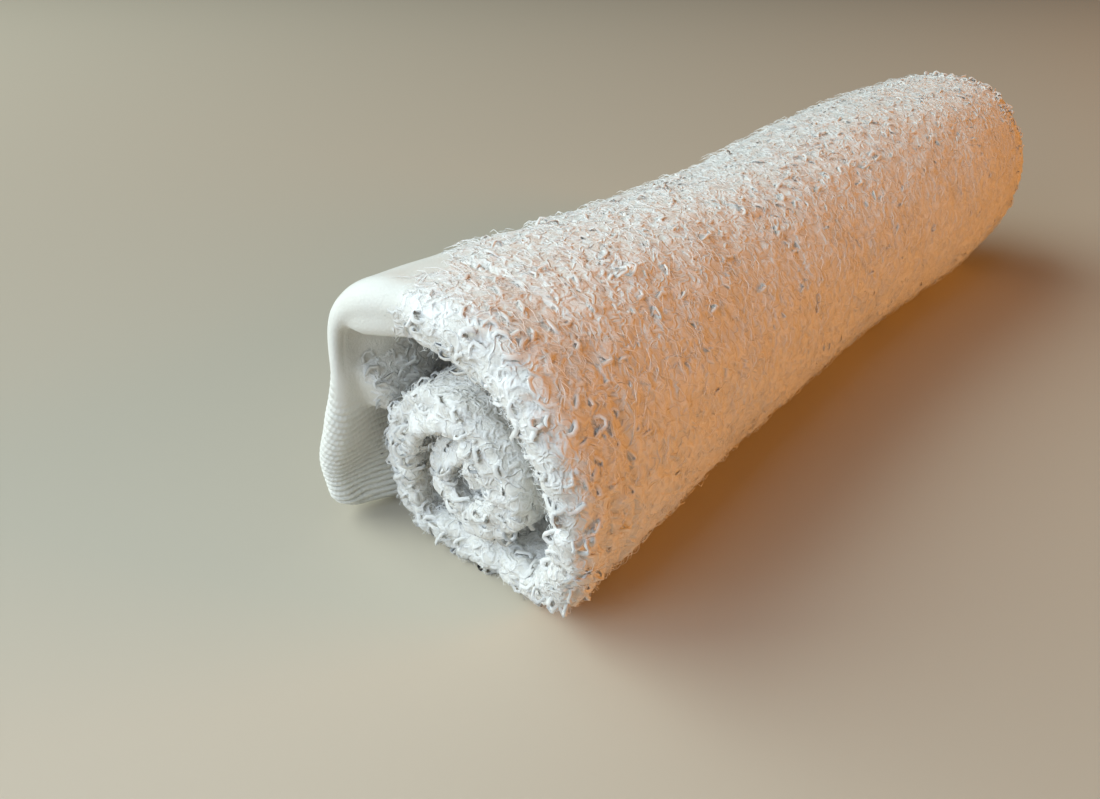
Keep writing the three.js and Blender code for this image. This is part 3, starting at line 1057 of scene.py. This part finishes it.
def patch_of_pile(name, hem, width, lean, spread, depth, arc, squash, soft, draw, size=1.0):
    """One piece of pile: loops at these feet that lean by about this much."""
    keep = (pile_cover(hem, width) > draw.uniform(0.3, 0.7, len(hem))) & (hem < BAND - 0.8)
    keep &= np.abs(width) < width_of_face(hem) - 0.6
    keep &= draw.uniform(0, 1, len(hem)) > LOST_WHERE_MATTED * matted(hem, width) * (hem < PRESSED_FROM)
    hem, width = hem[keep], width[keep]
    flat = matted(hem, width)
    full = fullness(hem, width)
    number = len(hem)
    at_rim = ramp(hem, 64, 80) * (1 - ramp(from_fold(hem, width), 1, 4))
    proud = draw.uniform(0, 1, number) < PROUD_SHARE + PROUD_SHARE_AT_RIM * at_rim
    sunk = np.interp(hem, *depth) + 0.08 * flat + 0.2 * (1 - full) + draw.normal(0, 0.06, number)
    sunk = np.where(proud, PROUD_PART * sunk, sunk)
    foot, outward, along, onward = on_cloth(hem, width, pile_lift(hem, width) - sunk)
    comb = math.pi * 1.1 * waver(hem / 9, width / 9, 8) + draw.normal(0, 0.8, number)
    lean_here = np.radians(np.interp(hem, *lean)) + spread * waver(hem / 4, width / 4, 9)
    lean_here = np.clip(lean_here + draw.normal(0, spread, number), 0.05, 1.4)
    tall = 1 + 0.16 * waver(hem / 3, width / 3, 10) + draw.normal(0, 0.1, number)
    lean_here = np.where(proud, PROUD_PART * lean_here, lean_here)
    turning = draw.uniform(0, math.pi, number)
    yarn = YARN * size * (1 - 0.2 * flat) * (0.8 + 0.2 * full) * draw.uniform(0.85, 1.15, number)
    tall = np.clip(size * tall, 0.7, 1.35) * (0.6 + 0.4 * full)
    look = {"lean": lean_here, "heading": comb, "turn": turning, "size": tall, "yarn": yarn}
    points, faces, normals = yarn_loops(foot, outward, along, onward, look, arc, squash, soft, draw)
    piece = mesh_object(name, in_frame(points), faces, terry_yarn, normals)
    print(name, number, "loops,", triangles(piece), "triangles")
    return piece


draw = np.random.default_rng(20)
TURN_OUTSIDE = 116.0
pile_pieces = [felt]
print("the outer turn ends", TURN_OUTSIDE, "mm from the hem")

# %% [markdown]
# ### Pile at the fold
# The fold stretches the cloth round a tight bend, so the feet of the loops move apart and each
# loop opens like a ring. The loops are thinly set and deeply sunk, because the knobs of the ground
# already stand for the matted ones between them. A few stand proud, as if pulled by a nail. There
# are two pieces, split 84 mm from the hem, so that neither grows too heavy.

# %% Pile at the fold
LEAN_AT_FOLD = ([35, 64, 76, BAND], [74, 70, 44, 40])
DEPTH_AT_FOLD = ([35, 64, 76, BAND], [0.6, 0.65, 1.15, 1.2])
SPLIT_AT = 84
fold_hem, fold_width = set_out((18.5, TURN_OUTSIDE), (-13.0, 12.0), 1.35, draw)
core_hem, core_width = set_out((TURN_OUTSIDE, BAND), (-9.0, 9.0), 1.4, draw)
near_hem = np.concatenate([fold_hem, core_hem])
near_width = np.concatenate([fold_width, core_width])
for number, chosen in enumerate((near_hem < SPLIT_AT, near_hem >= SPLIT_AT), 1):
    pile_pieces.append(patch_of_pile(
        f"pile_fold_{number}", near_hem[chosen], near_width[chosen], LEAN_AT_FOLD, 0.15,
        DEPTH_AT_FOLD, OPEN_LOOP, 0.75, 0.5, draw, size=1.05))

# %% [markdown]
# ### Pile of the top and the right side
# Here the loops lie over, and only their backs stand out of the felt. Where the roll has been
# rubbed, most have gone into the skin, so fewer are drawn. Three pieces follow one another from
# the folded end to the cut end.

# %% Pile of the body
LEAN_OF_BODY = ([36, 48, 58, 66, 100], [72, 72, 74, 76, 77])
DEPTH_OF_BODY = ([0, 1], [0.5, 0.5])
face = float(width_of_face(np.array([60.0]))[0])
body_hem, body_width = set_out((34.0, PRESSED_FROM), (11.0, face - 6), 1.7, draw)
third = (face - 17) / 3
for number in range(3):
    chosen = (body_width >= 11 + number * third) & (body_width < 11 + (number + 1) * third)
    pile_pieces.append(patch_of_pile(
        f"pile_body_{number + 1}", body_hem[chosen], body_width[chosen], LEAN_OF_BODY, 0.1,
        DEPTH_OF_BODY, LOW_LOOP, 0.5, 0.45, draw))

# %% [markdown]
# ### Loose fibres
# Soft-spun yarn sheds. Over the body the fibres have been rubbed one way, round the roll. At the
# fold they are shorter and finer. Each is a thin tapered tube with its foot in the pile, bowed a
# little to one side and risen off the cloth in the middle. They are drawn three to five times as
# thick as real fibres, which would not show.

# %% Loose fibres on the pile
FIBRE_TAPER = np.array([1.0, 0.9, 0.5])
FIBRES = 5000


def loose_fibres(name, hem, width, heading, draw, reach, thick):
    """One piece of loose fibres that lie on the pile, as thin tapered tubes."""
    keep = (pile_cover(hem, width) > 0.6) & (hem < BAND - 2)
    hem, width = hem[keep], width[keep]
    number = len(hem)
    start, outward, along, onward = on_cloth(hem, width, pile_lift(hem, width))
    turn = heading + draw.normal(0, 0.6, number)
    turn = turn + np.where(draw.uniform(0, 1, number) < 0.5, math.pi, 0)
    toward = along * np.cos(turn)[:, None] + onward * np.sin(turn)[:, None]
    beside = np.cross(outward, toward)
    length = draw.uniform(*reach, number)[:, None, None]
    t = np.linspace(0, 1, len(FIBRE_TAPER))[None, :, None]
    bow = draw.normal(0, 0.5, (number, 1, 1))
    rise = draw.uniform(0.25, 0.6, (number, 1, 1))
    lines = start[:, None] + length * (t * toward[:, None] + bow * t * (1 - t) * beside[:, None])
    lines = lines + rise * np.sin(math.pi * t * 0.85) * outward[:, None]
    side = np.broadcast_to(beside[:, None], lines.shape)
    taper = thick * FIBRE_TAPER * np.ones((number, 1))
    points, faces, normals = tubes(lines, side, taper, outward, 1.0, 0.4)
    piece = mesh_object(name, in_frame(points), faces, loose_fibre, normals)
    print(name, number, "fibres,", triangles(piece), "triangles")
    return piece


fuzz_hem = draw.uniform(36, 99, FIBRES)
fuzz_width = draw.uniform(2, face - 4, FIBRES)
pile_pieces.append(loose_fibres("fuzz_body", fuzz_hem, fuzz_width, 0.4, draw, (1.2, 3.0), 0.04))
end_hem = draw.uniform(19.5, BAND, FIBRES)
end_width = draw.uniform(-8, 9, FIBRES)
pile_pieces.append(loose_fibres("fuzz_fold", end_hem, end_width, 1.0, draw, (0.6, 1.4), 0.028))

# %% [markdown]
# ### Pile of the underside and the cut end
# The weight of the roll presses the pile flat underneath, so these loops are squashed and lie
# close together. At the cut end they cover both faces of the cloth for 6 mm, up to the trimmed
# edge itself, which is bare.

# %% Pile underneath and at the cut edges
under_hem, under_width = set_out((PRESSED_FROM, TURN_OUTSIDE), (17.0, face - 6), 1.25, draw)
pile_pieces.append(patch_of_pile(
    "pile_underside", under_hem, under_width, ([0, 1], [76, 76]), 0.08,
    ([0, 1], [0.36, 0.36]), LOW_LOOP, 0.42, 0.35, draw, size=0.95))
edge_hem, edge_depth = set_out((34.0, BAND), (-6.0, 6.0), 1.15, draw)
edge_width = np.sign(edge_depth) * (width_of_face(edge_hem) - np.abs(edge_depth))
pile_pieces.append(patch_of_pile(
    "pile_cut_end", edge_hem, edge_width, ([0, 1], [66, 66]), 0.15,
    ([0, 1], [0.4, 0.4]), LOW_LOOP, 0.7, 0.35, draw))

# %% [markdown]
# ## The stage
# The roll lies on a plain pale floor of matt paper, so wide that its edge doesn't matter.

# %% Floor
HALF_FLOOR = 6.0
floor_mesh = bpy.data.meshes.new("floor")
floor_corners = [(HALF_FLOOR * x, HALF_FLOOR * y, 0) for x, y in ((-1, -1), (1, -1), (1, 1), (-1, 1))]
floor_mesh.from_pydata(floor_corners, [], [(0, 1, 2, 3)])
floor = bpy.data.objects.new("floor", floor_mesh)
floor_paint = bpy.data.materials.new("matt_pale_paper")
floor_paint.use_nodes = True
paper = floor_paint.node_tree.nodes["Principled BSDF"]
paper.inputs["Base Color"].default_value = linear("#c6bdac")
paper.inputs["Roughness"].default_value = 0.9
floor_mesh.materials.append(floor_paint)
bpy.context.scene.collection.objects.link(floor)
print("floor", 2 * HALF_FLOOR, "m across")


# %% [markdown]
# The light is soft and of two kinds. A large cool window light from the left makes the top white,
# a weaker one in front fills the folded end, and a small one close by reaches into the hollow
# behind the loose flap. A warm lamp low on the right leaves that side of the roll amber, and a
# trace of warm light comes from the room itself. Each light faces the middle of the roll.


# %% Lights
def softbox(name, place, size, watts, colour):
    """A square light that faces the middle of the roll."""
    lamp = bpy.data.lights.new(name, "AREA")
    lamp.size = size
    lamp.energy = watts
    lamp.color = linear(colour)[:3]
    light = bpy.data.objects.new(name, lamp)
    light.location = place
    aim = Vector((0, 0, 0.02)) - Vector(place)
    light.rotation_euler = aim.to_track_quat("-Z", "Y").to_euler()
    bpy.context.scene.collection.objects.link(light)


softbox("window_light", (-0.5, 0.75, 0.8), 0.9, 13.5, "#e8f4f1")
softbox("front_light", (-0.8, 0.15, 0.48), 0.6, 2.2, "#d8ebff")
softbox("end_light", (-0.18, 0.0, 0.11), 0.08, 0.085, "#dcecfa")
softbox("warm_light", (0.5, -0.78, 0.25), 0.44, 5.3, "#ffa237")
world = bpy.data.worlds.new("room")
world.use_nodes = True
world.node_tree.nodes["Background"].inputs["Color"].default_value = linear("#f6efe4")
world.node_tree.nodes["Background"].inputs["Strength"].default_value = 0.04
bpy.context.scene.world = world
bpy.context.scene.view_settings.view_transform = "Standard"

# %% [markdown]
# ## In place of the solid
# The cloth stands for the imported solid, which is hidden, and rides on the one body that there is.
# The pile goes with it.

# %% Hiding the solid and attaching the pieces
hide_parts("towel")
for piece in [cloth, *pile_pieces]:
    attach(piece, "root")
